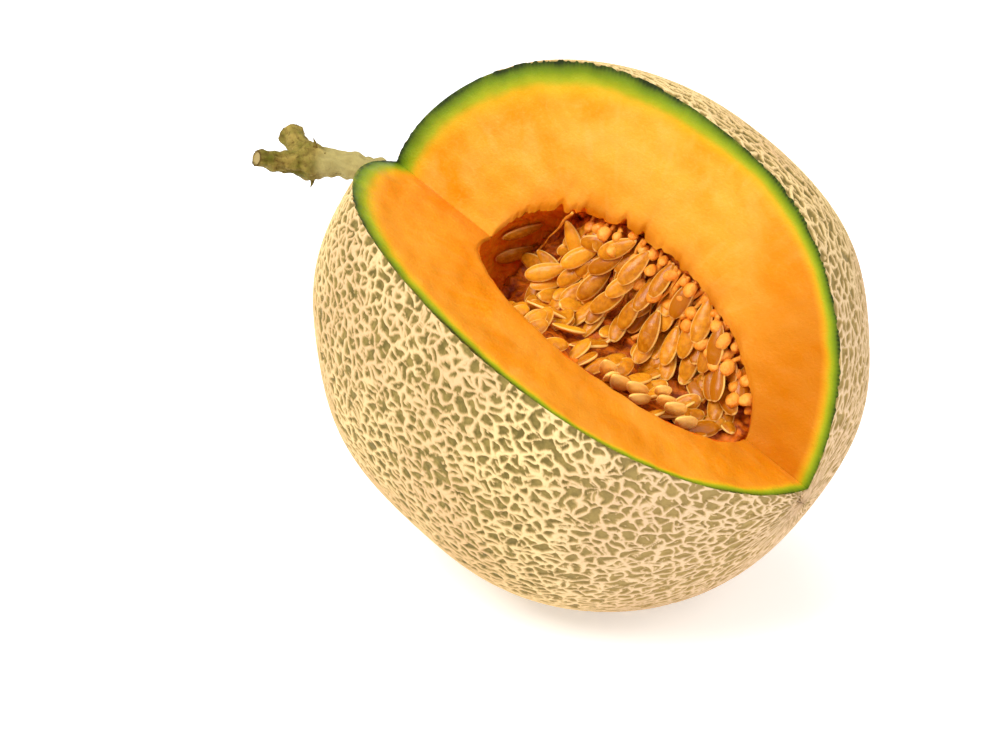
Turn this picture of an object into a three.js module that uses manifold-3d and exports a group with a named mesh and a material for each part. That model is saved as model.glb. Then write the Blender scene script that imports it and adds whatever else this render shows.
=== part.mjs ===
// Cantaloupe melon with one wedge cut out, lying on a small flat spot with its vine stub still on.
// The fruit's own frame has +Z along its core towards the stem. The wedge's two cuts are planes
// through a line beside the core. The outer group lays the fruit down: +Z up, floor at z = 0.
import * as THREE from "three";
import { mergeVertices } from "three/addons/utils/BufferGeometryUtils.js";
import Module from "manifold-3d";

const wasm = await Module();
wasm.setup();

// Driving dimensions, in millimetres and degrees.
const FRUIT_RADIUS = 72;
const STEM_END_LENGTH = 82.6;
const BLOSSOM_END_LENGTH = 74;
const ROUNDNESS = 2.23;
const DIMPLE_DEPTH = 2.2;
const DIMPLE_RADIUS = 11;

const HOLLOW_RADIUS = 33;
const HOLLOW_STEM_LENGTH = 43.6;
const HOLLOW_BLOSSOM_LENGTH = 52;

const CUT_LINE_OFFSET = 5;
const BACK_CUT_ANGLE = 12;
const FRONT_CUT_ANGLE = -73.4;
const FRONT_CUT_TWIST = 0.04;

const HEADING = -38.6;
const TIP_OVER = -67.1;
const FLAT_DEPTH = 2.5;

const BED_RECESS = 4.6;
const BED_SINK = 11;
const BED_SINK_START = 10;
const BED_SINK_END = 36;
const BED_FILLET = 12;

const SEED_LENGTH = 11.8;
const SEED_WIDTH = 5.2;
const SEED_THICKNESS = 2.3;
const SEED_SIZE_SPREAD = 0.09;
const SEED_RANDOM_START = 20;
const LAYING_STEP = 0.2;
const MOST_MOVES = 30;

const PEDICEL_RADIUS = 4.7;
const KNUCKLE_RADIUS = 6.2;
const VINE_RADIUS = 3.7;
const VINE_TIP_RADIUS = 2.6;
const STUB_RADIUS = 3.9;
const KNUCKLE_AT = [-8.5, -7.9, 23.4];
const VINE_BEND_AT = [-8.9, -15.2, 26.7];
const VINE_END_AT = [-7.5, -23.6, 30.7];
const STUB_END_AT = [-9.2, -2.9, 36.0];

const SEAT_CLEARANCE = 0.3;

// How finely the curved faces are divided.
const SKIN_SIDES = 64;
const SKIN_STEPS = 30;
const HOLLOW_SIDES = 36;
const HOLLOW_STEPS = 18;
const CUT_STEPS = 16;
const BED_STEPS = 28;
const FACET_ALLOWANCE = 0.2;
const STEM_SIDES = 10;
const SEED_SIDES = 8;

const radians = THREE.MathUtils.degToRad;
const blend = THREE.MathUtils.smoothstep;
const mix = THREE.MathUtils.lerp;

// A closed geometry as a solid that can be joined and cut.
function solid(geometry) {
  const bare = geometry.clone();
  bare.deleteAttribute("normal");
  bare.deleteAttribute("uv");
  const merged = mergeVertices(bare, 1e-4);
  return new wasm.Manifold(
    new wasm.Mesh({
      numProp: 3,
      vertProperties: new Float32Array(merged.attributes.position.array),
      triVerts: new Uint32Array(merged.index.array),
    }),
  );
}

// A solid turned back into a geometry.
function geometryOf(body) {
  const mesh = body.getMesh();
  const geometry = new THREE.BufferGeometry();
  geometry.setAttribute("position", new THREE.BufferAttribute(mesh.vertProperties, 3));
  geometry.setIndex(new THREE.BufferAttribute(mesh.triVerts, 1));
  geometry.computeVertexNormals();
  return geometry;
}

// Moves every vertex of a geometry by a rule.
function reshape(geometry, rule) {
  const position = geometry.attributes.position;
  const vertex = new THREE.Vector3();
  for (let i = 0; i < position.count; i += 1) {
    rule(vertex.fromBufferAttribute(position, i));
    position.setXYZ(i, vertex.x, vertex.y, vertex.z);
  }
  return geometry;
}

function named(name, geometry, color, roughness) {
  const material = new THREE.MeshStandardMaterial({ color, roughness, metalness: 0 });
  const mesh = new THREE.Mesh(geometry, material);
  mesh.name = name;
  return mesh;
}

// The fruit's outside: two superellipse halves, with a shallow dimple round the stem.
function skinProfile(grow) {
  const points = [];
  for (let i = 0; i <= SKIN_STEPS; i += 1) {
    const along = Math.cos(Math.PI * (1 - i / SKIN_STEPS));
    const radius = FRUIT_RADIUS * Math.sqrt(Math.max(1 - Math.abs(along) ** ROUNDNESS, 0));
    const length = along > 0 ? STEM_END_LENGTH : BLOSSOM_END_LENGTH;
    const dimple = along > 0 ? DIMPLE_DEPTH * Math.exp(-((radius / DIMPLE_RADIUS) ** 2)) : 0;
    const height = along * (length + grow) - dimple;
    points.push(new THREE.Vector2(radius * (1 + grow / FRUIT_RADIUS), height));
  }
  points[0].x = 0;
  points[SKIN_STEPS].x = 0;
  return points;
}

// A profile turned round the core, which lies along Z.
function turned(points, sides) {
  return new THREE.LatheGeometry(points, sides).rotateX(Math.PI / 2);
}

function hollowProfile(shrink) {
  const points = [];
  const middle = (HOLLOW_STEM_LENGTH - HOLLOW_BLOSSOM_LENGTH) / 2;
  const half = (HOLLOW_STEM_LENGTH + HOLLOW_BLOSSOM_LENGTH) / 2 - shrink;
  for (let i = 0; i <= HOLLOW_STEPS; i += 1) {
    const angle = Math.PI * (1 - i / HOLLOW_STEPS);
    const radius = (HOLLOW_RADIUS - shrink) * Math.sin(angle);
    points.push(new THREE.Vector2(radius, middle + half * Math.cos(angle)));
  }
  points[0].x = 0;
  points[HOLLOW_STEPS].x = 0;
  return points;
}

function frontAngle(z) {
  return FRONT_CUT_ANGLE + FRONT_CUT_TWIST * z;
}

function halfOpening(z) {
  return radians((BACK_CUT_ANGLE - frontAngle(z)) / 2);
}

// How far the seed bed lies below the cuts: it sinks away towards the stem.
function bedRecess(z) {
  return BED_RECESS + BED_SINK * blend(z, BED_SINK_START, BED_SINK_END);
}

// The line where two faces, parallel to the cuts and a recess below them, meet.
function cutLine(z, recess) {
  const bisector = radians(BACK_CUT_ANGLE) - halfOpening(z);
  const back = recess / Math.sin(halfOpening(z));
  return new THREE.Vector3(CUT_LINE_OFFSET - back * Math.cos(bisector), -back * Math.sin(bisector), z);
}

// A wedge-shaped cutter along the core, a length long each way, its edge rounded to a radius.
function wedge(recessAt, edgeRadius, length, steps) {
  const reach = 3 * FRUIT_RADIUS;
  const half = halfOpening(0);
  const outline = new THREE.Shape();
  const corner = edgeRadius / Math.tan(half);
  outline.moveTo(reach * Math.cos(half), reach * Math.sin(half));
  if (edgeRadius > 0) {
    const centre = edgeRadius / Math.sin(half);
    outline.lineTo(corner * Math.cos(half), corner * Math.sin(half));
    outline.absarc(centre, 0, edgeRadius, half + Math.PI / 2, -half - Math.PI / 2, false);
  } else {
    outline.lineTo(0, 0);
  }
  outline.lineTo(reach * Math.cos(half), -reach * Math.sin(half));
  const options = { depth: 2 * length, steps, bevelEnabled: false, curveSegments: 5 };
  const bar = new THREE.ExtrudeGeometry(outline, options).translate(0, 0, -length);
  return reshape(bar, (vertex) => {
    const { z } = vertex;
    const share = Math.atan2(vertex.y, vertex.x) / half;
    const radius = Math.hypot(vertex.x, vertex.y);
    const angle = radians(BACK_CUT_ANGLE) - (1 - share) * halfOpening(z);
    const edge = cutLine(z, recessAt(z));
    vertex.set(edge.x + radius * Math.cos(angle), edge.y + radius * Math.sin(angle), z);
  });
}

// The turn that lays the fruit down on its side, and the height that leaves its flat spot at 0.
const layDown = new THREE.Matrix4().makeRotationFromEuler(
  new THREE.Euler(0, radians(TIP_OVER), radians(HEADING), "ZYX"),
);
const down = new THREE.Vector3(0, 0, -1).applyMatrix4(layDown.clone().transpose());
const reachDown = skinProfile(0).map((p) => p.x * Math.hypot(down.x, down.y) + p.y * down.z);
const RESTING_HEIGHT = Math.max(...reachDown) - FLAT_DEPTH;
layDown.setPosition(0, 0, RESTING_HEIGHT);

function floorBlock() {
  const size = 4 * STEM_END_LENGTH;
  const block = new THREE.BoxGeometry(size, size, size).translate(0, 0, -size / 2);
  return block.applyMatrix4(layDown.clone().invert());
}

// Rind and flesh grew as one: the turned fruit less its hollow, the wedge and the flat spot.
function melonBody() {
  return solid(turned(skinProfile(0), SKIN_SIDES))
    .subtract(solid(turned(hollowProfile(0), HOLLOW_SIDES)))
    .subtract(solid(wedge(() => 0, 0, 1.2 * STEM_END_LENGTH, CUT_STEPS)))
    .subtract(solid(floorBlock()));
}

// The soft pulp fills the hollow up to a trough that lies below the cuts.
function seedPulp() {
  return solid(turned(hollowProfile(SEAT_CLEARANCE), HOLLOW_SIDES)).subtract(
    solid(wedge(bedRecess, BED_FILLET, 1.05 * HOLLOW_BLOSSOM_LENGTH, BED_STEPS)),
  );
}

// A round limb along a curve, its radius given for each share of the way.
function limb(points, radiusAt, steps) {
  const curve = new THREE.CatmullRomCurve3(points);
  const frames = curve.computeFrenetFrames(steps);
  const rod = new THREE.CylinderGeometry(1, 1, 1, STEM_SIDES, steps).rotateX(Math.PI / 2);
  return reshape(rod, (vertex) => {
    const step = Math.round((vertex.z + 0.5) * steps);
    const radius = radiusAt(step / steps);
    const across = frames.normals[step].clone().multiplyScalar(vertex.x * radius);
    const upward = frames.binormals[step].clone().multiplyScalar(vertex.y * radius);
    vertex.copy(curve.getPointAt(step / steps)).add(across).add(upward);
  });
}

// The vine stub: a thick pedicel, a knuckle, the cut vine and a short cut side shoot.
function stem() {
  const pole = STEM_END_LENGTH - DIMPLE_DEPTH;
  const at = (place) => new THREE.Vector3(...place).add(new THREE.Vector3(0, 0, pole));
  const root = new THREE.Vector3(0, 0, pole - 2 * SEAT_CLEARANCE - DIMPLE_DEPTH);
  const knuckle = at(KNUCKLE_AT);
  const midway = root.clone().lerp(knuckle, 0.5).add(new THREE.Vector3(1.2, 0.8, 0));
  const pedicel = limb([root, midway, knuckle], (t) => PEDICEL_RADIUS * (1 - 0.18 * Math.sin(Math.PI * t)), 8);
  const vine = limb(
    [knuckle, at(VINE_BEND_AT), at(VINE_END_AT)],
    (t) => mix(VINE_RADIUS, VINE_TIP_RADIUS, t),
    8,
  );
  const stub = limb([knuckle, at(STUB_END_AT)], (t) => STUB_RADIUS * (1 - 0.12 * Math.sin(Math.PI * t)), 4);
  const knob = new THREE.SphereGeometry(KNUCKLE_RADIUS, 12, 8).scale(0.92, 0.92, 1);
  knob.translate(knuckle.x, knuckle.y, knuckle.z);
  return solid(pedicel)
    .add(solid(knob))
    .add(solid(vine))
    .add(solid(stub))
    .subtract(solid(turned(skinProfile(SEAT_CLEARANCE), SKIN_SIDES)));
}

// A flat teardrop: its long side lies along Y with the point at +Y, and its flat side faces Z.
function seedShape(scale, grow) {
  const length = SEED_LENGTH * scale + 2 * grow;
  const width = SEED_WIDTH * scale + 2 * grow;
  const thickness = SEED_THICKNESS * scale + 2 * grow;
  const points = [new THREE.Vector2(0, -length / 2)];
  for (const share of [-0.43, -0.2, 0.1, 0.36]) {
    const fullness = Math.sqrt(1 - (2 * share) ** 2) * (1 - 0.42 * share - 0.5 * share * share);
    points.push(new THREE.Vector2(fullness / 2, share * length));
  }
  points.push(new THREE.Vector2(0, length / 2));
  return new THREE.LatheGeometry(points, SEED_SIDES).scale(width, 1, thickness);
}

// How far a point in the hollow stands clear of the bed's two faces and the fillet between them.
function roomOverBed(point) {
  const half = halfOpening(point.z);
  const bisector = radians(BACK_CUT_ANGLE) - half;
  const offset = point.clone().sub(cutLine(point.z, bedRecess(point.z)));
  const along = offset.x * Math.cos(bisector) + offset.y * Math.sin(bisector);
  const across = Math.abs(offset.y * Math.cos(bisector) - offset.x * Math.sin(bisector));
  const fromCentre = along - BED_FILLET / Math.sin(half);
  const isOverFace = fromCentre * Math.cos(half) + across * Math.sin(half) > 0;
  if (isOverFace) return along * Math.sin(half) - across * Math.cos(half);
  return BED_FILLET - Math.hypot(fromCentre, across);
}

// How far a point in the hollow stands clear of its wall.
function roomInsideWall(point) {
  const middle = (HOLLOW_STEM_LENGTH - HOLLOW_BLOSSOM_LENGTH) / 2;
  const half = (HOLLOW_STEM_LENGTH + HOLLOW_BLOSSOM_LENGTH) / 2;
  const radial = Math.hypot(point.x, point.y) / HOLLOW_RADIUS;
  return HOLLOW_RADIUS * (1 - Math.hypot(radial, (point.z - middle) / half));
}

function hasRoom(geometry) {
  const position = geometry.attributes.position;
  const vertex = new THREE.Vector3();
  for (let i = 0; i < position.count; i += 1) {
    vertex.fromBufferAttribute(position, i);
    if (Math.min(roomOverBed(vertex), roomInsideWall(vertex)) < FACET_ALLOWANCE) return false;
  }
  return true;
}

// How far a face of the bed runs up from its lowest line to the wall of the hollow.
function bedSlope(z, angle) {
  const middle = (HOLLOW_STEM_LENGTH - HOLLOW_BLOSSOM_LENGTH) / 2;
  const half = (HOLLOW_STEM_LENGTH + HOLLOW_BLOSSOM_LENGTH) / 2;
  const wall = HOLLOW_RADIUS * Math.sqrt(Math.max(1 - ((z - middle) / half) ** 2, 0));
  const edge = cutLine(z, bedRecess(z));
  const along = edge.x * Math.cos(angle) + edge.y * Math.sin(angle);
  const across = edge.x * edge.x + edge.y * edge.y - wall * wall;
  return Math.sqrt(Math.max(along * along - across, 0)) - along;
}

// A point on the bed. up runs from -1 at the front rim past 0 at the bottom to 1 at the back rim.
function bedPoint(z, up) {
  const half = halfOpening(z);
  const bisector = radians(BACK_CUT_ANGLE) - half;
  const side = Math.sign(up);
  const faceAngle = bisector + side * half;
  const rise = Math.abs(up) * bedSlope(z, faceAngle);
  const corner = BED_FILLET / Math.tan(half);
  const bend = Math.max(1 - rise / corner, 0) * (Math.PI / 2 - half);
  const facing = faceAngle - side * (Math.PI / 2 - bend);
  const outward = new THREE.Vector3(Math.cos(facing), Math.sin(facing), 0);
  const upFace = new THREE.Vector3(-side * outward.y, side * outward.x, 0);
  const seat = cutLine(z, bedRecess(z));
  if (bend === 0) return { seat: seat.addScaledVector(upFace, rise), outward, upFace };
  const toCentre = BED_FILLET / Math.sin(half);
  seat.x += toCentre * Math.cos(bisector);
  seat.y += toCentre * Math.sin(bisector);
  return { seat: seat.addScaledVector(outward, -BED_FILLET), outward, upFace };
}

// Rows of seeds. up is the height on the bed, below 0 on the front face. from and to are shares of
// the hollow's length, stem end positive. turn is the way the points aim at from and at to: 0 is
// towards the blossom end and 90 straight up the face. lean lifts the round end, edge rolls the
// seed on its edge, and stray is the most that a turn wanders.
const SEED_ROWS = [
  { up: -0.42, from: -0.64, to: 0.36, count: 7, turn: [70, 120], lean: 8, edge: 10, stray: 30 },
  { up: 0.14, from: -0.74, to: 0.56, count: 8, turn: [146, 64], lean: 10, edge: 0, stray: 18 },
  { up: 0.4, from: -0.78, to: 0.6, count: 10, turn: [140, 56], lean: 16, edge: 0, stray: 14 },
  { up: 0.6, from: -0.7, to: 0.44, count: 8, turn: [128, 62], lean: 18, edge: 0, stray: 16 },
  { up: 0.78, from: -0.56, to: 0.26, count: 6, turn: [118, 70], lean: 20, edge: 0, stray: 18 },
  { up: -0.8, from: -0.8, to: -0.24, count: 9, turn: [96, 88], lean: -20, edge: 60, stray: 5 },
  { up: 0.45, from: 0.66, to: 0.8, count: 2, turn: [170, 176], lean: 4, edge: 8, stray: 5 },
  { up: 0.75, from: 0.4, to: 0.6, count: 2, turn: [28, 150], lean: 6, edge: 0, stray: 8 },
];

// A small repeatable source of numbers from 0 to 1.
function randomFrom(start) {
  let state = start;
  return () => {
    state = (Math.imul(state, 1664525) + 1013904223) >>> 0;
    return state / 4294967296;
  };
}

// Where one seed starts out: its axes, the point of the bed under it and the way the bed faces.
function seedStart(row, share, random) {
  const spread = () => 2 * random() - 1;
  const middle = (HOLLOW_STEM_LENGTH - HOLLOW_BLOSSOM_LENGTH) / 2;
  const half = (HOLLOW_STEM_LENGTH + HOLLOW_BLOSSOM_LENGTH) / 2;
  const z = middle + half * mix(row.from, row.to, share) + 0.9 * spread();
  const { seat, outward, upFace } = bedPoint(z, row.up + 0.03 * spread());
  const turn = radians(mix(row.turn[0], row.turn[1], share) + row.stray * spread());
  const lean = radians(row.lean + 6 * spread());
  const roll = radians(row.edge + 9 * spread());
  const flatPoint = new THREE.Vector3(0, 0, -Math.cos(turn)).addScaledVector(upFace, Math.sin(turn));
  const point = flatPoint.multiplyScalar(Math.cos(lean)).addScaledVector(outward, -Math.sin(lean));
  const broad = new THREE.Vector3().crossVectors(point, outward).normalize();
  broad.applyAxisAngle(point, roll);
  const flat = new THREE.Vector3().crossVectors(broad, point).normalize();
  return { axes: new THREE.Matrix4().makeBasis(broad, point, flat), seat, outward };
}

// Whether a grown seed lies clear of the bed, the wall and the seeds that were laid before it.
function liesClear(grown, centre, laid) {
  if (!hasRoom(grown)) return false;
  const tried = solid(grown);
  const near = laid.filter((other) => other.centre.distanceTo(centre) < 1.3 * SEED_LENGTH);
  const clear = near.every((other) => {
    const shared = tried.intersect(other.solid);
    const apart = shared.isEmpty();
    shared.delete();
    return apart;
  });
  tried.delete();
  return clear;
}

// Lays one seed as low on the bed as it goes. One that would cut the wall is brought in a little.
function laySeed(start, scale, laid) {
  const bottom = bedPoint(0, 0.001);
  const open = bottom.seat.addScaledVector(bottom.outward, BED_FILLET);
  for (let moves = 0; moves < MOST_MOVES; moves += 1) {
    for (let height = 0; height < SEED_LENGTH; height += LAYING_STEP) {
      const centre = start.seat.clone().addScaledVector(start.outward, height);
      const at = start.axes.clone().setPosition(centre);
      if (liesClear(seedShape(scale, SEAT_CLEARANCE).applyMatrix4(at), centre, laid)) {
        const geometry = seedShape(scale, 0).applyMatrix4(at);
        return { geometry, solid: solid(geometry), centre };
      }
    }
    start.seat.lerp(open, 0.03);
  }
  throw new Error("a seed finds no room in the hollow");
}

function layOutSeeds() {
  const random = randomFrom(SEED_RANDOM_START);
  const laid = [];
  for (const row of SEED_ROWS) {
    for (let i = 0; i < row.count; i += 1) {
      const start = seedStart(row, i / (row.count - 1), random);
      const scale = 1 + SEED_SIZE_SPREAD * (2 * random() - 1);
      laid.push(laySeed(start, scale, laid));
    }
  }
  return laid;
}

const fruit = new THREE.Group();
fruit.applyMatrix4(layDown);
fruit.add(named("melon_body", geometryOf(melonBody()), 0xf2a03c, 0.5));
fruit.add(named("seed_pulp", geometryOf(seedPulp()), 0xc9691c, 0.35));
fruit.add(named("stem", geometryOf(stem()), 0x9a9a5e, 0.75));
layOutSeeds().forEach((seed, index) => {
  const name = `seed_${String(index + 1).padStart(2, "0")}`;
  fruit.add(named(name, seed.geometry, 0xd99a44, 0.3));
});

const melon = new THREE.Group();
melon.add(fruit);

export default melon;
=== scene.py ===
"""Looks of a cantaloupe melon with one wedge cut out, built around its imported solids.

Every length is in metres. The fruit's own frame has +Z along its core towards the stem, and
MelonForm lays it down on the floor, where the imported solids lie.
"""

import logging
import math
from dataclasses import dataclass, field
from enum import Enum
from typing import Sequence

import bmesh
import bpy
import numpy as np
from mathutils import Matrix, Vector
from mathutils.kdtree import KDTree


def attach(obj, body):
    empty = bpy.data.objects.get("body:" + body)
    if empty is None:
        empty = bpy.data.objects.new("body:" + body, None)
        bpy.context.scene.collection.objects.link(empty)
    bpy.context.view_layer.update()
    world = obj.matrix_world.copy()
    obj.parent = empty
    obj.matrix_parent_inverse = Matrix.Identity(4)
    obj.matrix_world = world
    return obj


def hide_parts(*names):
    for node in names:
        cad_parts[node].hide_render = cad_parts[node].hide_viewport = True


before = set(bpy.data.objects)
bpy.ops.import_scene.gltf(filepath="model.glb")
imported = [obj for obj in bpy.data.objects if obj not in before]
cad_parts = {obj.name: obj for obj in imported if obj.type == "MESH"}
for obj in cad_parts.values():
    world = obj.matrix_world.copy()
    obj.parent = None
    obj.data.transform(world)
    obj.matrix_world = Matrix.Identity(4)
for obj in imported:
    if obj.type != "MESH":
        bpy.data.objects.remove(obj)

LOG = logging.getLogger("melon")
MM = 0.001
Colour = tuple[float, float, float]
Place = tuple[float, float, float]


class Side(Enum):
    """The two faces that the knife left."""

    BACK = 1
    FRONT = -1


class Slot(Enum):
    """The record's material slots."""

    MELON = "melon"
    PULP = "pulp"
    STEM = "stem"
    SEED = "seed"


def smooth_step(value: np.ndarray, low: float, high: float) -> np.ndarray:
    """Returns a smooth rise from 0 at low to 1 at high."""
    share = np.clip((value - low) / (high - low), 0.0, 1.0)
    return share * share * (3.0 - 2.0 * share)


def ripple(points: np.ndarray, pitch: float, seed: int, waves: int = 7) -> np.ndarray:
    """Sums a few slanted waves into a smooth, repeatable unevenness.

    Args:
        points: Places, one a row.
        pitch: Length of a typical wave.
        seed: Start of the random draws.
        waves: How many waves are summed.

    Returns:
        One value for each point, mostly between -1 and 1.
    """
    draws = np.random.default_rng(seed)
    total = np.zeros(len(points))
    for _ in range(waves):
        way = draws.normal(size=3)
        way *= draws.uniform(0.7, 1.5) / np.linalg.norm(way)
        total += np.sin(points @ way * (2.0 * math.pi / pitch) + draws.uniform(0.0, 2.0 * math.pi))
    return total / math.sqrt(waves)


@dataclass(frozen=True)
class MelonForm:
    """The fruit's shape, the cuts and the way it lies, as in its solids."""

    radius: float = 72.0 * MM
    stem_length: float = 82.6 * MM
    blossom_length: float = 74.0 * MM
    roundness: float = 2.23
    dimple_depth: float = 2.2 * MM
    dimple_radius: float = 11.0 * MM
    hollow_radius: float = 33.0 * MM
    hollow_stem: float = 43.6 * MM
    hollow_blossom: float = 52.0 * MM
    cut_offset: float = 5.0 * MM
    back_angle: float = math.radians(12.0)
    front_angle: float = math.radians(-73.4)
    front_twist: float = math.radians(0.04) / MM
    heading: float = math.radians(-38.6)
    tip_over: float = math.radians(-67.1)
    flat_depth: float = 2.5 * MM
    bed_recess: float = 4.6 * MM
    bed_sink: float = 11.0 * MM
    bed_sink_start: float = 10.0 * MM
    bed_sink_end: float = 36.0 * MM
    bed_fillet: float = 12.0 * MM

    def skin(self, turn: np.ndarray) -> tuple[np.ndarray, np.ndarray]:
        """Gives the skin's profile.

        Args:
            turn: Angles from 0 at the blossom end to pi at the stem end.

        Returns:
            The radius and the place along the core at each angle.
        """
        along = -np.cos(turn)
        radius = self.radius * np.sqrt(np.maximum(1.0 - np.abs(along) ** self.roundness, 0.0))
        dimple = np.where(along > 0.0, self.dimple_depth * np.exp(-((radius / self.dimple_radius) ** 2)), 0.0)
        length = np.where(along > 0.0, self.stem_length, self.blossom_length)
        return radius, along * length - dimple

    @property
    def hollow_middle(self) -> float:
        """Place of the hollow's middle along the core."""
        return (self.hollow_stem - self.hollow_blossom) / 2.0

    @property
    def hollow_half(self) -> float:
        """Half the hollow's length."""
        return (self.hollow_stem + self.hollow_blossom) / 2.0

    def hollow(self, z: np.ndarray) -> np.ndarray:
        """Returns the hollow's radius at places along the core."""
        share = (z - self.hollow_middle) / self.hollow_half
        return self.hollow_radius * np.sqrt(np.maximum(1.0 - share**2, 0.0))

    def cut_angle(self, side: Side, z: np.ndarray) -> np.ndarray:
        """Returns the way a cut runs out from the cut line."""
        if side is Side.BACK:
            return np.full_like(z, self.back_angle)
        return self.front_angle + self.front_twist * z

    def half_opening(self, z: np.ndarray) -> np.ndarray:
        """Returns half the angle between the two cuts."""
        return (self.back_angle - self.cut_angle(Side.FRONT, z)) / 2.0

    def recess(self, z: np.ndarray) -> np.ndarray:
        """Returns how far the seed bed lies below the cuts."""
        return self.bed_recess + self.bed_sink * smooth_step(z, self.bed_sink_start, self.bed_sink_end)

    def cut_line(self, z: np.ndarray, recess: np.ndarray) -> tuple[np.ndarray, np.ndarray]:
        """Returns x and y of the line where two faces a recess below the cuts meet."""
        half = self.half_opening(z)
        bisector = self.back_angle - half
        back = recess / np.sin(half)
        return self.cut_offset - back * np.cos(bisector), -back * np.sin(bisector)

    def reach(self, side: Side, z: np.ndarray, radius: np.ndarray, recess: np.ndarray) -> np.ndarray:
        """Returns how far a face runs from its lowest line to a wall of a given radius."""
        angle = self.cut_angle(side, z)
        x, y = self.cut_line(z, recess)
        along = x * np.cos(angle) + y * np.sin(angle)
        square = along**2 - (x**2 + y**2 - radius**2)
        return np.maximum(np.sqrt(np.maximum(square, 0.0)) - along, 0.0) * (square > 0.0)

    def on_cut(self, side: Side, z: np.ndarray, out: np.ndarray) -> np.ndarray:
        """Returns points on a cut, out from the cut line."""
        angle = self.cut_angle(side, z)
        x, y = self.cut_line(z, np.zeros_like(z))
        return np.stack([x + out * np.cos(angle), y + out * np.sin(angle), z + 0.0 * out], axis=-1)

    def cut_normal(self, side: Side, z: np.ndarray) -> np.ndarray:
        """Returns the way a cut faces, into the notch."""
        angle = self.cut_angle(side, z)
        return np.stack([side.value * np.sin(angle), -side.value * np.cos(angle), 0.0 * z], axis=-1)

    def bed(self, z: float, up: float) -> tuple[np.ndarray, np.ndarray, np.ndarray]:
        """Gives a point on the seed bed.

        Args:
            z: Place along the core.
            up: -1 at the front rim, 0 at the bottom, 1 at the back rim.

        Returns:
            The point, the way the bed faces there and the way up the bed.
        """
        place = np.array([z])
        half = float(self.half_opening(place)[0])
        bisector = self.back_angle - half
        side = Side.BACK if up >= 0.0 else Side.FRONT
        sign = side.value
        depth = self.recess(place)
        wall = self.hollow(place)
        rise = abs(up) * float(self.reach(side, place, wall, depth)[0])
        corner = self.bed_fillet / math.tan(half)
        bend = max(1.0 - rise / corner, 0.0) * (math.pi / 2.0 - half)
        facing = bisector + sign * half - sign * (math.pi / 2.0 - bend)
        outward = np.array([math.cos(facing), math.sin(facing), 0.0])
        upward = np.array([-sign * outward[1], sign * outward[0], 0.0])
        x, y = self.cut_line(place, depth)
        seat = np.array([x[0], y[0], z])
        if bend == 0.0:
            return seat + rise * upward, outward, upward
        centre = self.bed_fillet / math.sin(half)
        seat += centre * np.array([math.cos(bisector), math.sin(bisector), 0.0])
        return seat - self.bed_fillet * outward, outward, upward

    @property
    def lay_down(self) -> Matrix:
        """The move from the fruit's own frame to the floor's."""
        turn = Matrix.Rotation(self.heading, 3, "Z") @ Matrix.Rotation(self.tip_over, 3, "Y")
        down = turn.transposed() @ Vector((0.0, 0.0, -1.0))
        radius, z = self.skin(np.linspace(0.0, math.pi, 31))
        height = float(np.max(radius * math.hypot(down.x, down.y) + z * down.z)) - self.flat_depth
        return Matrix.Translation((0.0, 0.0, height)) @ turn.to_4x4()

    def to_floor(self, points: np.ndarray) -> np.ndarray:
        """Returns points of the fruit's frame in the floor's frame."""
        move = np.array(self.lay_down)
        return points @ move[:3, :3].T + move[:3, 3]

    def turn_to_floor(self, ways: np.ndarray) -> np.ndarray:
        """Returns directions of the fruit's frame in the floor's frame."""
        return ways @ np.array(self.lay_down)[:3, :3].T


FORM = MelonForm()


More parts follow.
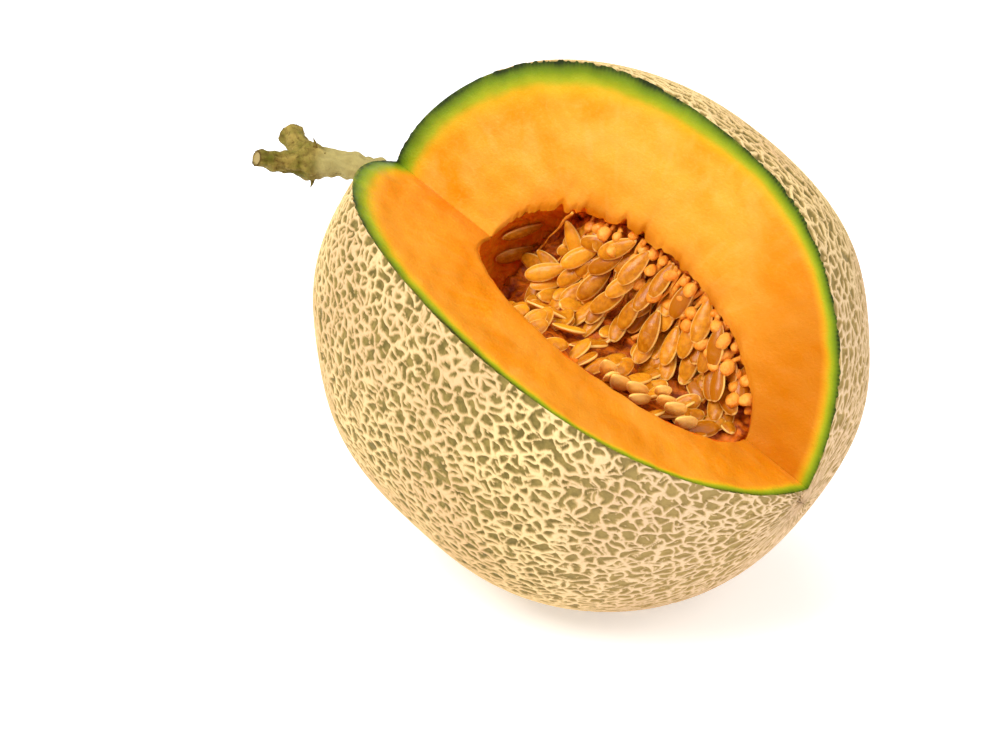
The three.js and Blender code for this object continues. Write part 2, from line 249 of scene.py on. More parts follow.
class Shader:
    """Writes one node material, a node at a time."""

    def __init__(self, name: str) -> None:
        """Starts an empty material with one surface shader."""
        self.material = bpy.data.materials.new(name)
        self.material.use_nodes = True
        self.tree = self.material.node_tree
        self.tree.nodes.clear()
        output = self.tree.nodes.new("ShaderNodeOutputMaterial")
        self.surface = self.tree.nodes.new("ShaderNodeBsdfPrincipled")
        self.tree.links.new(self.surface.outputs[0], output.inputs[0])
        place = self.tree.nodes.new("ShaderNodeTexCoord")
        self.place = place.outputs["Object"]

    def set(self, **values: float | Colour) -> None:
        """Sets the surface shader's own sockets, with _ for each space in a name."""
        for name, value in values.items():
            socket = self.surface.inputs[name.replace("_", " ")]
            is_colour = isinstance(value, tuple) and socket.type == "RGBA"
            socket.default_value = (*value, 1.0) if is_colour else value

    def wire(self, source: bpy.types.NodeSocket, name: str) -> None:
        """Links a socket to the surface shader."""
        self.tree.links.new(source, self.surface.inputs[name])

    def attribute(self, name: str) -> bpy.types.NodeSocket:
        """Returns a mesh attribute as a number."""
        node = self.tree.nodes.new("ShaderNodeAttribute")
        node.attribute_name = name
        return node.outputs["Fac"]

    def noise(self, pitch: float, detail: float = 3.0, rough: float = 0.55,
              warp: float = 0.0) -> bpy.types.NodeSocket:
        """Adds noise in the object's frame.

        Args:
            pitch: Size of its larger spots.
            detail: Octaves.
            rough: Share of the finer octaves.
            warp: Distortion.

        Returns:
            The noise's value.
        """
        node = self.tree.nodes.new("ShaderNodeTexNoise")
        node.inputs["Scale"].default_value = 1.0 / pitch
        node.inputs["Detail"].default_value = detail
        node.inputs["Roughness"].default_value = rough
        node.inputs["Distortion"].default_value = warp
        self.tree.links.new(self.place, node.inputs["Vector"])
        return node.outputs["Fac"]

    def cells(self, pitch: float) -> bpy.types.NodeSocket:
        """Returns the distance inside small random cells."""
        node = self.tree.nodes.new("ShaderNodeTexVoronoi")
        node.inputs["Scale"].default_value = 1.0 / pitch
        self.tree.links.new(self.place, node.inputs["Vector"])
        return node.outputs["Distance"]

    def ramp(self, source: bpy.types.NodeSocket,
             stops: Sequence[tuple[float, Colour]]) -> bpy.types.NodeSocket:
        """Returns the colour for a number.

        Args:
            source: The number.
            stops: Places from 0 to 1, each with its colour.

        Returns:
            The colour socket.
        """
        node = self.tree.nodes.new("ShaderNodeValToRGB")
        self.tree.links.new(source, node.inputs[0])
        elements = node.color_ramp.elements
        while len(elements) < len(stops):
            elements.new(0.5)
        for element, (place, colour) in zip(elements, stops):
            element.position = place
            element.color = (*colour, 1.0)
        return node.outputs[0]

    def fade(self, source: bpy.types.NodeSocket, low: float, high: float, start: float = 0.0,
             end: float = 1.0) -> bpy.types.NodeSocket:
        """Returns a number moved from low..high to start..end and held there."""
        node = self.tree.nodes.new("ShaderNodeMapRange")
        for name, value in zip(("From Min", "From Max", "To Min", "To Max"), (low, high, start, end)):
            node.inputs[name].default_value = value
        self.tree.links.new(source, node.inputs["Value"])
        return node.outputs[0]

    def sum(self, first: bpy.types.NodeSocket, second: bpy.types.NodeSocket) -> bpy.types.NodeSocket:
        """Returns the sum of two numbers."""
        node = self.tree.nodes.new("ShaderNodeMath")
        node.operation = "ADD"
        self.tree.links.new(first, node.inputs[0])
        self.tree.links.new(second, node.inputs[1])
        return node.outputs[0]

    def mix(self, share: bpy.types.NodeSocket, first: bpy.types.NodeSocket | Colour,
            second: bpy.types.NodeSocket | Colour) -> bpy.types.NodeSocket:
        """Returns two colours mixed by a share."""
        node = self.tree.nodes.new("ShaderNodeMix")
        node.data_type = "RGBA"
        self.tree.links.new(share, node.inputs[0])
        for colour, socket in ((first, node.inputs[6]), (second, node.inputs[7])):
            if isinstance(colour, tuple):
                socket.default_value = (*colour, 1.0)
            else:
                self.tree.links.new(colour, socket)
        return node.outputs[2]

    def relief(self, height: bpy.types.NodeSocket, depth: float) -> None:
        """Bends the surface's shading by a height, its full range being depth."""
        node = self.tree.nodes.new("ShaderNodeBump")
        node.inputs["Distance"].default_value = depth
        node.inputs["Strength"].default_value = 1.0
        self.tree.links.new(height, node.inputs["Height"])
        self.wire(node.outputs[0], "Normal")


@dataclass(frozen=True)
class NettedRind:
    """Olive skin under raised cream cork, with painted shade on the sides of the cork lines, and painted
    shade and warm reflection towards the blossom end.
    """

    cork: Colour = (0.85, 0.625, 0.295)
    old_cork: Colour = (0.72, 0.47, 0.24)
    # Painted shade with a painted warm reflection: the cork colour towards the blossom end, the lower end as
    # the fruit lies.
    shaded_blossom_cork: Colour = (0.70, 0.50, 0.32)
    # Brown for random stains on the cork; also painted shade on the sides of the cork lines, and painted warm
    # reflection on the skin at the blossom end.
    flank_shade_and_stain: Colour = (0.46, 0.31, 0.115)
    skin: Colour = (0.29, 0.210, 0.056)
    dark_skin: Colour = (0.150, 0.112, 0.027)
    weathered: float = 34.0 * MM
    stain: float = 0.8 * MM
    mottle: float = 3.4 * MM
    grain: float = 0.7 * MM
    grain_depth: float = 0.22 * MM
    gloss: float = 0.12

    def make(self) -> bpy.types.Material:
        """Returns the finish."""
        shader = Shader("netted_rind")
        cork, blossom = shader.attribute("cork"), shader.attribute("blossom")
        corky = shader.mix(shader.fade(shader.noise(self.weathered), 0.4, 0.64), self.cork, self.old_cork)
        # Painted shade and painted warm reflection: the cork turns darker and pinker towards the blossom end.
        corky = shader.mix(shader.fade(blossom, 0.0, 1.0, 0.0, 0.8), corky, self.shaded_blossom_cork)
        stains = shader.fade(shader.noise(self.stain, 4.0, 0.7), 0.52, 0.8, 0.0, 0.7)
        corky = shader.mix(stains, corky, self.flank_shade_and_stain)
        spots = shader.fade(shader.noise(self.mottle, 4.0, 0.65), 0.38, 0.62)
        ground = shader.mix(spots, self.dark_skin, self.skin)
        # Painted warm reflection: towards the blossom end the skin between the lines turns lighter and
        # browner.
        ground = shader.mix(shader.fade(blossom, 0.0, 1.0, 0.0, 0.6), ground, self.flank_shade_and_stain)
        # Painted shade: the sides of each cork line go from the skin to the flank colour, darker than the
        # lighter cork top.
        sides = shader.mix(shader.fade(cork, 0.04, 0.4), ground, self.flank_shade_and_stain)
        shader.wire(shader.mix(shader.fade(cork, 0.4, 0.92), sides, corky), "Base Color")
        shader.wire(shader.fade(cork, 0.1, 0.7, 0.5, 0.85), "Roughness")
        grain = shader.sum(shader.noise(self.grain, 5.0, 0.7), shader.noise(2.0 * MM))
        shader.relief(grain, self.grain_depth)
        shader.set(Specular_IOR_Level=self.gloss)
        return shader.material


@dataclass(frozen=True)
class CutFlesh:
    """Wet orange flesh that turns green under the skin, with painted shade in deeper orange over parts of the
    cuts.
    """

    orange: Colour = (0.91, 0.385, 0.030)
    deep: Colour = (0.89, 0.295, 0.004)
    pale: Colour = (0.92, 0.46, 0.085)
    # Deep orange: the flesh's own colour beside the hollow, and painted shade on the back cut's blossom end
    # and all over the front cut.
    core: Colour = (0.56, 0.165, 0.001)
    under_skin: tuple[tuple[float, Colour], ...] = (
        (0.0, (0.016, 0.027, 0.003)),
        (0.045, (0.042, 0.070, 0.004)),
        (0.11, (0.10, 0.155, 0.005)),
        (0.23, (0.18, 0.26, 0.006)),
        (0.40, (0.34, 0.37, 0.008)),
        (0.66, (0.68, 0.42, 0.008)),
        (1.0, (0.91, 0.37, 0.02)))
    patch: float = 24.0 * MM
    cloud: float = 11.0 * MM
    speckle: float = 1.3 * MM
    wander: float = 9.0 * MM
    grain: float = 0.9 * MM
    grain_depth: float = 0.24 * MM
    gloss: float = 0.15

    def make(self) -> bpy.types.Material:
        """Returns the finish."""
        shader = Shader("cut_flesh")
        patches = shader.fade(shader.noise(self.patch, 4.0, 0.5, 0.4), 0.42, 0.62)
        flesh = shader.mix(patches, self.orange, self.deep)
        clouds = shader.fade(shader.noise(self.cloud, 4.0, 0.6, 0.3), 0.46, 0.7, 0.0, 0.42)
        fibres = shader.fade(shader.attribute("fibre"), 0.5, 1.7, 0.0, 0.35)
        speckles = shader.fade(shader.noise(self.speckle, 4.0, 0.65), 0.5, 0.72, 0.0, 0.3)
        for share in (clouds, fibres, speckles):
            flesh = shader.mix(share, flesh, self.pale)
        # The core attribute mixes in the deep orange: the flesh's own tone by the hollow, and painted shade
        # elsewhere on the cuts.
        flesh = shader.mix(shader.fade(shader.attribute("core"), 0.0, 1.0), flesh, self.core)
        wander = shader.fade(shader.noise(self.wander), 0.3, 0.7, -0.05, 0.05)
        edge = shader.sum(shader.attribute("green"), wander)
        rim = shader.ramp(edge, self.under_skin)
        shader.wire(shader.mix(shader.fade(edge, 0.45, 1.0), rim, flesh), "Base Color")
        shader.wire(shader.fade(shader.noise(3.0 * MM), 0.35, 0.7, 0.3, 0.55), "Roughness")
        grain = shader.sum(shader.noise(self.grain, 5.0, 0.65), shader.noise(4.0 * MM))
        shader.relief(grain, self.grain_depth)
        shader.set(Subsurface_Weight=0.22, Subsurface_Radius=(1.0, 0.45, 0.12), Subsurface_Scale=2.0 * MM,
                   Specular_IOR_Level=self.gloss)
        return shader.material


@dataclass(frozen=True)
class WetPulp:
    """The wet, stringy inside of the hollow, a light and a dark tone mixed by noise; on the seed bed the dark
    tone is partly painted shade.
    """

    name: str
    light: Colour
    dark: Colour
    pitch: float = 4.0 * MM
    gloss: float = 0.22

    def make(self) -> bpy.types.Material:
        """Returns the finish."""
        shader = Shader(self.name)
        tone = shader.fade(shader.noise(self.pitch, 5.0, 0.6, 1.2), 0.36, 0.66)
        shader.wire(shader.mix(tone, self.dark, self.light), "Base Color")
        shader.wire(shader.fade(shader.noise(2.0 * MM), 0.3, 0.7, 0.28, 0.6), "Roughness")
        shader.relief(shader.sum(shader.noise(1.3 * MM, 5.0, 0.6, 0.8), shader.cells(2.6 * MM)), 0.5 * MM)
        shader.set(Subsurface_Weight=0.2, Subsurface_Radius=(1.0, 0.35, 0.08), Subsurface_Scale=1.5 * MM,
                   Specular_IOR_Level=self.gloss)
        return shader.material


@dataclass(frozen=True)
class SeedCoat:
    """Wet amber seed coat with a paler rim; its tone, which mixes the darker and the lighter amber, holds
    painted shade besides each seed's own tone.
    """

    face: Colour = (0.86, 0.360, 0.016)
    # Darker amber, for seeds of a darker random tone and for painted shade.
    dark_face_and_shade: Colour = (0.46, 0.140, 0.002)
    rim: Colour = (0.98, 0.62, 0.17)

    def make(self) -> bpy.types.Material:
        """Returns the finish."""
        shader = Shader("seed_coat")
        tone = shader.attribute("tone")
        grain = shader.fade(shader.noise(1.4 * MM, 4.0, 0.6), 0.35, 0.65, -0.25, 0.25)
        # Painted shade: the tone attribute darkens the seeds towards +x and the blossom end, on top of each
        # seed's random tone.
        face = shader.mix(shader.fade(shader.sum(tone, grain), 0.0, 1.0), self.dark_face_and_shade, self.face)
        pale = shader.fade(shader.attribute("rim"), 0.3, 1.0, 0.0, 0.95)
        shader.wire(shader.mix(pale, face, self.rim), "Base Color")
        shader.wire(shader.fade(shader.noise(2.5 * MM), 0.35, 0.7, 0.18, 0.36), "Roughness")
        shader.relief(shader.noise(0.7 * MM, 4.0, 0.6), 0.1 * MM)
        shader.set(Subsurface_Weight=0.3, Subsurface_Radius=(1.0, 0.5, 0.15), Subsurface_Scale=0.9 * MM,
                   Specular_IOR_Level=0.2, Coat_Weight=0.08, Coat_Roughness=0.15)
        return shader.material


@dataclass(frozen=True)
class VineBark:
    """Dry green and tan vine with pale cut ends."""

    green: Colour = (0.13, 0.120, 0.010)
    tan: Colour = (0.38, 0.27, 0.060)
    brown: Colour = (0.095, 0.050, 0.008)
    pith: Colour = (0.42, 0.31, 0.12)
    young: Colour = (0.43, 0.35, 0.130)

    def make(self) -> bpy.types.Material:
        """Returns the finish."""
        shader = Shader("vine_bark")
        ridge = shader.attribute("ridge")
        patch = shader.fade(shader.noise(6.0 * MM, 4.0, 0.6), 0.36, 0.64)
        bark = shader.mix(patch, self.green, self.tan)
        furrows = shader.fade(ridge, -1.0, 0.1, 0.4, 0.0)
        specks = shader.fade(shader.noise(1.0 * MM, 4.0, 0.7), 0.52, 0.7, 0.0, 0.85)
        stains = shader.fade(shader.noise(9.0 * MM), 0.54, 0.7, 0.0, 0.7)
        for share in (furrows, specks, stains):
            bark = shader.mix(share, bark, self.brown)
        bark = shader.mix(shader.fade(shader.attribute("young"), 0.0, 1.0, 0.0, 0.8), bark, self.young)
        bark = shader.mix(shader.attribute("cut_end"), bark, self.pith)
        bark = shader.mix(shader.attribute("cut_ring"), bark, self.brown)
        shader.wire(bark, "Base Color")
        shader.wire(shader.fade(shader.noise(2.0 * MM), 0.3, 0.7, 0.6, 0.85), "Roughness")
        shader.relief(shader.noise(0.9 * MM, 5.0, 0.7), 0.5 * MM)
        shader.set(Specular_IOR_Level=0.15)
        return shader.material


@dataclass(frozen=True)
class StudioFloor:
    """Plain pale studio floor."""

    colour: Colour = (0.93, 0.93, 0.94)
    glow: float = 0.42

    def make(self) -> bpy.types.Material:
        """Returns the finish."""
        shader = Shader("studio_floor")
        shader.set(Base_Color=self.colour, Roughness=0.9, Specular_IOR_Level=0.1,
                   Emission_Color=(1.0, 1.0, 1.0), Emission_Strength=self.glow)
        return shader.material


def new_piece(name: str, points: np.ndarray, faces: Sequence[Sequence[int]] | np.ndarray,
              material: bpy.types.Material, values: dict[str, np.ndarray] | None = None,
              ) -> bpy.types.Object:
    """Makes one smooth piece that rides on the melon.

    Args:
        name: The piece's name.
        points: Its vertices in the floor's frame.
        faces: Vertex numbers of each face.
        material: Its finish.
        values: A number for each vertex, by attribute name.

    Returns:
        The object.
    """
    mesh = bpy.data.meshes.new(name)
    rows = faces.tolist() if isinstance(faces, np.ndarray) else faces
    mesh.from_pydata(points.tolist(), [], rows)
    mesh.validate()
    mesh.shade_smooth()
    mesh.materials.append(material)
    for label, numbers in (values or {}).items():
        layer = mesh.attributes.new(label, "FLOAT", "POINT")
        layer.data.foreach_set("value", numbers.astype(np.float32))
    piece = bpy.data.objects.new(name, mesh)
    bpy.context.scene.collection.objects.link(piece)
    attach(piece, "root")
    LOG.info("%s: %d vertices", name, len(mesh.vertices))
    return piece


def grid_faces(rows: int, columns: int, flip: bool = False) -> np.ndarray:
    """Returns the four-sided faces of a grid of rows by columns vertices."""
    corner = np.arange(rows * columns).reshape(rows, columns)
    loop = [corner[:-1, :-1], corner[:-1, 1:], corner[1:, 1:], corner[1:, :-1]]
    if flip:
        loop.reverse()
    return np.stack(loop, axis=-1).reshape(-1, 4)


def ring_faces(rings: int, sides: int) -> np.ndarray:
    """Returns the four-sided faces round a tube of rings, each with the same number of sides."""
    corner = np.arange(rings * sides).reshape(rings, sides)
    wrapped = np.concatenate([corner, corner[:, :1]], axis=1)
    loop = [wrapped[:-1, :-1], wrapped[:-1, 1:], wrapped[1:, 1:], wrapped[1:, :-1]]
    return np.stack(loop, axis=-1).reshape(-1, 4)


@dataclass
class Tubes:
    """Thin closed tubes, gathered into one mesh."""

    rings: int
    sides: int
    points: list[np.ndarray] = field(default_factory=list)
    faces: list[list[int]] = field(default_factory=list)

    def add(self, line: np.ndarray, thick: np.ndarray, first: np.ndarray, second: np.ndarray) -> None:
        """Adds one tube.

        Args:
            line: The middle of each ring.
            thick: The radius of each ring.
            first: One way across the tube, for each ring or for all of them.
            second: The other way across, square to the first.
        """
        angle = np.linspace(0.0, 2.0 * math.pi, self.sides, endpoint=False)[:, None]
        across = first[..., None, :] * np.cos(angle) + second[..., None, :] * np.sin(angle)
        ring = line[:, None] + thick[:, None, None] * across
        start = len(self.points) * self.rings * self.sides
        corner = start + np.arange(self.rings * self.sides).reshape(self.rings, self.sides)
        self.faces += (start + ring_faces(self.rings, self.sides)).tolist()
        self.faces += [corner[0, ::-1].tolist(), corner[-1].tolist()]
        self.points.append(ring.reshape(-1, 3))


@dataclass
class CorkLines:
    """Raised lines along the borders of cells scattered over the skin, some borders left out.

    The cells are laid out on a turned surface whose radius and height are given against the run
    from the blossom end, and that is drawn in along the core so that the cells come out long.
    """

    cells: int
    half_width: float
    missing: float
    seed: int
    stray: float = 0.42
    squeeze: float = 0.8
    pole_squeeze: float = 0.6
    pole_reach: float = 34.0 * MM
    pole_room: float = 20.0 * MM
    pole_fall: float = 25.0 * MM

    def __post_init__(self) -> None:
        """Lays the cells out."""
        turn = np.linspace(0.0, math.pi, 2401)
        radius, z = FORM.skin(turn)
        run = np.concatenate([[0.0], np.cumsum(np.hypot(np.diff(radius), np.diff(z)))])
        end = np.minimum(run, run[-1] - run)
        wide = radius + self.pole_room * np.exp(-end / self.pole_fall)
        near_pole = np.exp(-((end / self.pole_reach) ** 2))
        squeeze = self.squeeze + (self.pole_squeeze - self.squeeze) * near_pole
        lift = np.sqrt(np.maximum(squeeze**2 - np.gradient(wide, run) ** 2, 0.03))
        tall = np.concatenate([[0.0], np.cumsum((lift[1:] + lift[:-1]) / 2.0 * np.diff(run))])
        area = np.concatenate([[0.0], np.cumsum((wide * squeeze)[1:] * np.diff(run))])
        self.table = turn, wide, tall
        draws = np.random.default_rng(self.seed)
        number = np.arange(self.cells)
        pitch = math.sqrt(2.0 * math.pi * area[-1] / self.cells)
        place = np.interp((number + 0.5) / self.cells * area[-1], area, run)
        place = np.clip(place + self.stray * pitch * draws.normal(size=self.cells), 0.0, run[-1])
        own_turn = np.interp(place, run, turn)
        around = number * math.pi * (3.0 - math.sqrt(5.0))
        around = around + self.stray * pitch * draws.normal(size=self.cells) / np.interp(place, run, wide)
        self.centres = self.lay(own_turn, around)
        self.tree = KDTree(self.cells)
        for index, centre in enumerate(self.centres):
            self.tree.insert(centre, index)
        self.tree.balance()

    def lay(self, turn: np.ndarray, around: np.ndarray) -> np.ndarray:
        """Returns places of the skin on the drawn-in surface."""
        known, wide, tall = self.table
        radius = np.interp(turn, known, wide)
        height = np.interp(turn, known, tall)
        return np.stack([radius * np.cos(around), radius * np.sin(around), height], axis=1)

    def nearness(self, turn: np.ndarray, around: np.ndarray) -> np.ndarray:
        """Measures how near places are to a line.

        Args:
            turn: The profile angle of each place.
            around: The angle of each place round the core.

        Returns:
            0 on a line's middle, 1 at its edge and more beyond it.
        """
        points = self.lay(turn, around)
        points = points + 0.42 * MM * np.stack([ripple(points, 4.6 * MM, s) for s in (1, 2, 3)], axis=1)
        points = points + 0.16 * MM * np.stack([ripple(points, 1.7 * MM, s) for s in (7, 8, 9)], axis=1)
        found = np.array([[hit[1] for hit in self.tree.find_n(place, 4)] for place in points.tolist()])
        own = self.centres[found[:, 0]]
        to_own = np.sum((points - own) ** 2, axis=1)
        first, second = np.full(len(points), 1.0), np.full(len(points), 1.0)
        for rank in (1, 2, 3):
            other = self.centres[found[:, rank]]
            apart = np.sum((points - other) ** 2, axis=1) - to_own
            distance = apart / (2.0 * np.linalg.norm(other - own, axis=1) + 1e-9)
            low, high = np.minimum(found[:, 0], found[:, rank]), np.maximum(found[:, 0], found[:, rank])
            is_open = (np.sin((low * 7919.0 + high) * 12.9898) * 43758.5453) % 1.0 < self.missing
            distance = np.where(is_open, 1.0, distance)
            second = np.minimum(second, np.maximum(distance, first))
            first = np.minimum(first, distance)
        uneven = 1.0 + 0.22 * ripple(points, 7.0 * MM, 5) + 0.14 * ripple(points, 2.4 * MM, 6)
        width = self.half_width * uneven
        knot = 1.0 + 0.3 * np.exp(-((second / (0.8 * MM)) ** 2))
        return first / np.maximum(width * knot, 0.1 * MM)


@dataclass
class Netting:
    """The cork net: long cells with a raised line round most of them, and short spurs inside."""

    height: float = 0.62 * MM
    spur_share: float = 0.72
    shoulder: float = 1.75
    smooth_cap: float = 7.5 * MM

    def __post_init__(self) -> None:
        """Lays both layers of lines out."""
        self.borders = CorkLines(cells=7000, half_width=0.37 * MM, missing=0.1, seed=11)
        self.spurs = CorkLines(cells=13500, half_width=0.25 * MM, missing=0.78, seed=12)

    def at(self, turn: np.ndarray, around: np.ndarray) -> tuple[np.ndarray, np.ndarray]:
        """Measures the net at places on the skin.

        Args:
            turn: The profile angle of each place.
            around: The angle of each place round the core.

        Returns:
            How corky each place is, from 0 to 1, and how far the cork stands up there.
        """
        cork, rise = np.zeros(len(turn)), np.zeros(len(turn))
        for lines, tall in ((self.borders, 1.0), (self.spurs, self.spur_share)):
            near = lines.nearness(turn, around)
            dome = np.clip(1.0 - (near / self.shoulder) ** 2, 0.0, 1.0)
            cork = np.maximum(cork, math.sqrt(tall) * (1.0 - smooth_step(near, 0.3, self.shoulder)))
            rise = np.maximum(rise, tall * dome)
        radius, z = FORM.skin(turn)
        bare = np.where(z > 0.0, smooth_step(radius, 0.45 * self.smooth_cap, self.smooth_cap), 1.0)
        return cork * bare, self.height * rise * bare


@dataclass
class MelonFlesh:
    """The rind, the two cut faces and the wall of the hollow, which grew as one piece."""

    rows: int = 600
    columns: int = 1020
    cut_columns: int = 76
    hollow_columns: int = 150
    skin_wave: float = 0.5 * MM
    cut_wave: float = 0.35 * MM
    ragged: float = 0.9 * MM
    lip: float = 0.9 * MM
    rind_parts: int = 6
    green_widths: dict[Side, tuple[float, float]] = field(default_factory=lambda: {
        Side.BACK: (12.0 * MM, 5.4 * MM), Side.FRONT: (9.5 * MM, 4.2 * MM)})
    netting: Netting = field(default_factory=Netting)

    def __post_init__(self) -> None:
        """Samples the profile."""
        self.turn = np.linspace(0.0, math.pi, self.rows)
        self.radius, self.z = FORM.skin(self.turn)

    def between_cuts(self, z: np.ndarray, radius: np.ndarray) -> tuple[np.ndarray, np.ndarray]:
        """Returns the angles round the core where a turned surface meets the back and front cut."""
        ends = []
        for side in Side:
            out = FORM.reach(side, z, radius, np.zeros_like(z))
            point = FORM.on_cut(side, z, out)
            angle = np.arctan2(point[:, 1], point[:, 0])
            ends.append(np.where(out > 0.0, angle, 0.0))
        back, front = ends
        return back, front + 2.0 * math.pi

    def skin_grid(self) -> tuple[np.ndarray, np.ndarray]:
        """Returns the skin's points in the fruit's frame and how corky each is, by row and column."""
        back, front = self.between_cuts(self.z, self.radius)
        share = np.linspace(0.0, 1.0, self.columns)
        around = back[:, None] + share[None, :] * (front - back)[:, None]
        turn = np.repeat(self.turn[:, None], self.columns, axis=1)
        cork, rise = self.netting.at(turn.ravel(), around.ravel())
        radius, z = FORM.skin(turn.ravel())
        base = np.stack([radius * np.cos(around.ravel()), radius * np.sin(around.ravel()), z], axis=1)
        lean = np.stack([np.gradient(self.z, self.turn), -np.gradient(self.radius, self.turn)])
        out, up = np.repeat(lean / np.linalg.norm(lean, axis=0), self.columns, axis=1)
        normal = np.stack([out * np.cos(around.ravel()), out * np.sin(around.ravel()), up], axis=1)
        swell = self.skin_wave * (ripple(base, 60.0 * MM, 21) - 0.5)
        points = base + normal * (rise + swell)[:, None]
        return points.reshape(self.rows, self.columns, 3), cork.reshape(self.rows, self.columns)

    def rest_on_floor(self, points: np.ndarray) -> np.ndarray:
        """Returns points in the floor's frame, pressed flat where the fruit rests."""
        placed = FORM.to_floor(points.reshape(-1, 3))
        placed[:, 2] = np.maximum(placed[:, 2], 0.0)
        return placed

    def depth_below_skin(self, points: np.ndarray) -> np.ndarray:
        """Returns how deep points of the fruit's frame lie under the skin."""
        radius = np.hypot(points[:, 0], points[:, 1])
        best = np.full(len(points), 1.0)
        for near_radius, near_z in zip(self.radius[::3], self.z[::3]):
            best = np.minimum(best, (radius - near_radius) ** 2 + (points[:, 2] - near_z) ** 2)
        return np.sqrt(best)

    def green_width(self, side: Side, z: np.ndarray) -> np.ndarray:
        """Returns how wide the green band under the skin is at places along the core."""
        near, far = self.green_widths[side]
        return far + (near - far) * smooth_step(z, -58.0 * MM, 62.0 * MM)

    def ragged_hollow(self, z: np.ndarray, side: Side) -> np.ndarray:
        """Returns the hollow's radius at a cut, with a torn edge."""
        share = np.clip((z - FORM.hollow_middle) / FORM.hollow_half, -1.0, 1.0)
        line = np.stack([np.arccos(share) * FORM.hollow_half, 0.0 * z, 0.0 * z + side.value], axis=1)
        torn = 0.5 * ripple(line, 9.0 * MM, 31)
        radius = FORM.hollow(z)
        if side is Side.FRONT:
            return radius + 0.4 * self.ragged * torn * smooth_step(radius, 5.0 * MM, 20.0 * MM)
        pockets = np.maximum(ripple(line, 4.4 * MM, 32), 0.0) * smooth_step(z, -30.0 * MM, 4.0 * MM)
        torn = torn + 1.5 * pockets + 0.25 * ripple(line, 2.6 * MM, 33)
        return radius + self.ragged * torn * smooth_step(radius, 5.0 * MM, 20.0 * MM)

    def make_skin(self, points: np.ndarray, cork: np.ndarray) -> list[bpy.types.Object]:
        """Makes the rind in strips that meet edge to edge."""
        finish = NettedRind().make()
        bounds = np.linspace(0, self.columns - 1, self.rind_parts + 1).astype(int)
        # The blossom attribute rises towards the blossom end, the lower end as the fruit lies; the rind's
        # finish paints shade and warm reflection with it.
        blossom = np.repeat(smooth_step(-self.z, 22.0 * MM, 66.0 * MM)[:, None], self.columns, axis=1)
        pieces = []
        for index, (start, end) in enumerate(zip(bounds[:-1], bounds[1:])):
            part = slice(start, end + 1)
            chosen = points[:, part]
            faces = grid_faces(self.rows, chosen.shape[1])
            values = {"cork": cork[:, part].ravel(), "blossom": blossom[:, part].ravel()}
            name = f"rind_{index + 1}"
            pieces.append(new_piece(name, self.rest_on_floor(chosen), faces, finish, values))
        return pieces

    def make_cut(self, side: Side, edge: np.ndarray, finish: bpy.types.Material) -> bpy.types.Object:
        """Makes one cut face, from the skin's edge in to the hollow's edge or the cut line.

        Args:
            side: Which cut.
            edge: The skin's points along this cut, one a row of the profile.
            finish: The flesh's finish.

        Returns:
            The object.
        """
        z = self.z
        outer = FORM.reach(side, z, self.radius, np.zeros_like(z))
        inner = FORM.reach(side, z, self.ragged_hollow(z, side), np.zeros_like(z))
        used = np.nonzero(outer > 0.0)[0]
        z, outer, inner, edge = z[used], outer[used], inner[used], edge[used]
        share = 1.0 - (1.0 - np.linspace(0.0, 1.0, self.cut_columns)) ** 1.5
        out = inner[:, None] + share[None, :] * (outer - inner)[:, None]
        height = np.repeat(z[:, None], self.cut_columns, axis=1)
        flat = FORM.on_cut(side, height.ravel(), out.ravel())
        skin_depth = self.depth_below_skin(flat)
        from_hollow = out.ravel() - np.repeat(inner[:, None], self.cut_columns, axis=1).ravel()
        open_row = np.repeat((inner > 0.0)[:, None], self.cut_columns, axis=1).ravel()
        hollow_depth = np.where(open_row, from_hollow, 1.0)
        ease = smooth_step(skin_depth, 0.0, 4.0 * MM) * smooth_step(out.ravel(), 0.0, 5.0 * MM)
        wave = self.cut_wave * (ripple(flat, 38.0 * MM, 41) + 0.5 * ripple(flat, 9.0 * MM, 42))
        normal = FORM.cut_normal(side, height.ravel())
        lip = self.lip * np.exp(-((hollow_depth / (1.6 * MM)) ** 2))
        points = flat + normal * (wave * ease - lip)[:, None]
        points = points.reshape(len(used), self.cut_columns, 3)
        points[:, -1] = edge
        faces = grid_faces(len(used), self.cut_columns, flip=side is Side.FRONT)
        name = f"cut_face_{side.name.lower()}"
        return new_piece(name, self.rest_on_floor(points), faces, finish, {
            "green": skin_depth / self.green_width(side, height.ravel()),
            "core": self.core_and_shade_tone(side, flat, hollow_depth),
            "fibre": self.fibre(flat)})

    def fibre(self, flat: np.ndarray) -> np.ndarray:
        """Returns streaks that run out from the middle of the hollow, at points of a cut."""
        ray = flat - np.array([0.0, 0.0, FORM.hollow_middle])
        swing = np.arctan2(ray[:, 2], np.hypot(ray[:, 0], ray[:, 1])) * 46.0 * MM
        streaked = np.stack([swing, np.linalg.norm(ray, axis=1) * 0.16, 0.0 * swing], axis=1)
        return ripple(streaked, 3.4 * MM, 43)

    def core_and_shade_tone(self, side: Side, flat: np.ndarray, hollow_depth: np.ndarray) -> np.ndarray:
        """Returns how deep the orange is at points of a cut: beside the hollow it is the flesh's own deeper
        orange, and towards the blossom end of the back cut and over the whole front cut it is painted shade.
        """
        core = np.exp(-hollow_depth / (5.5 * MM)) * (0.75 + 0.35 * ripple(flat, 12.0 * MM, 45))
        if side is Side.BACK:
            # Painted shade: the back cut goes deeper orange towards its blossom end, the lower right as it
            # lies.
            return np.maximum(core, 0.9 * smooth_step(-flat[:, 2], 10.0 * MM, 62.0 * MM))
        # Painted shade: the whole front cut is made deeper orange, a shaded copy of the same flesh.
        return np.maximum(0.2 * core, 0.58 + 0.12 * ripple(flat, 26.0 * MM, 46))

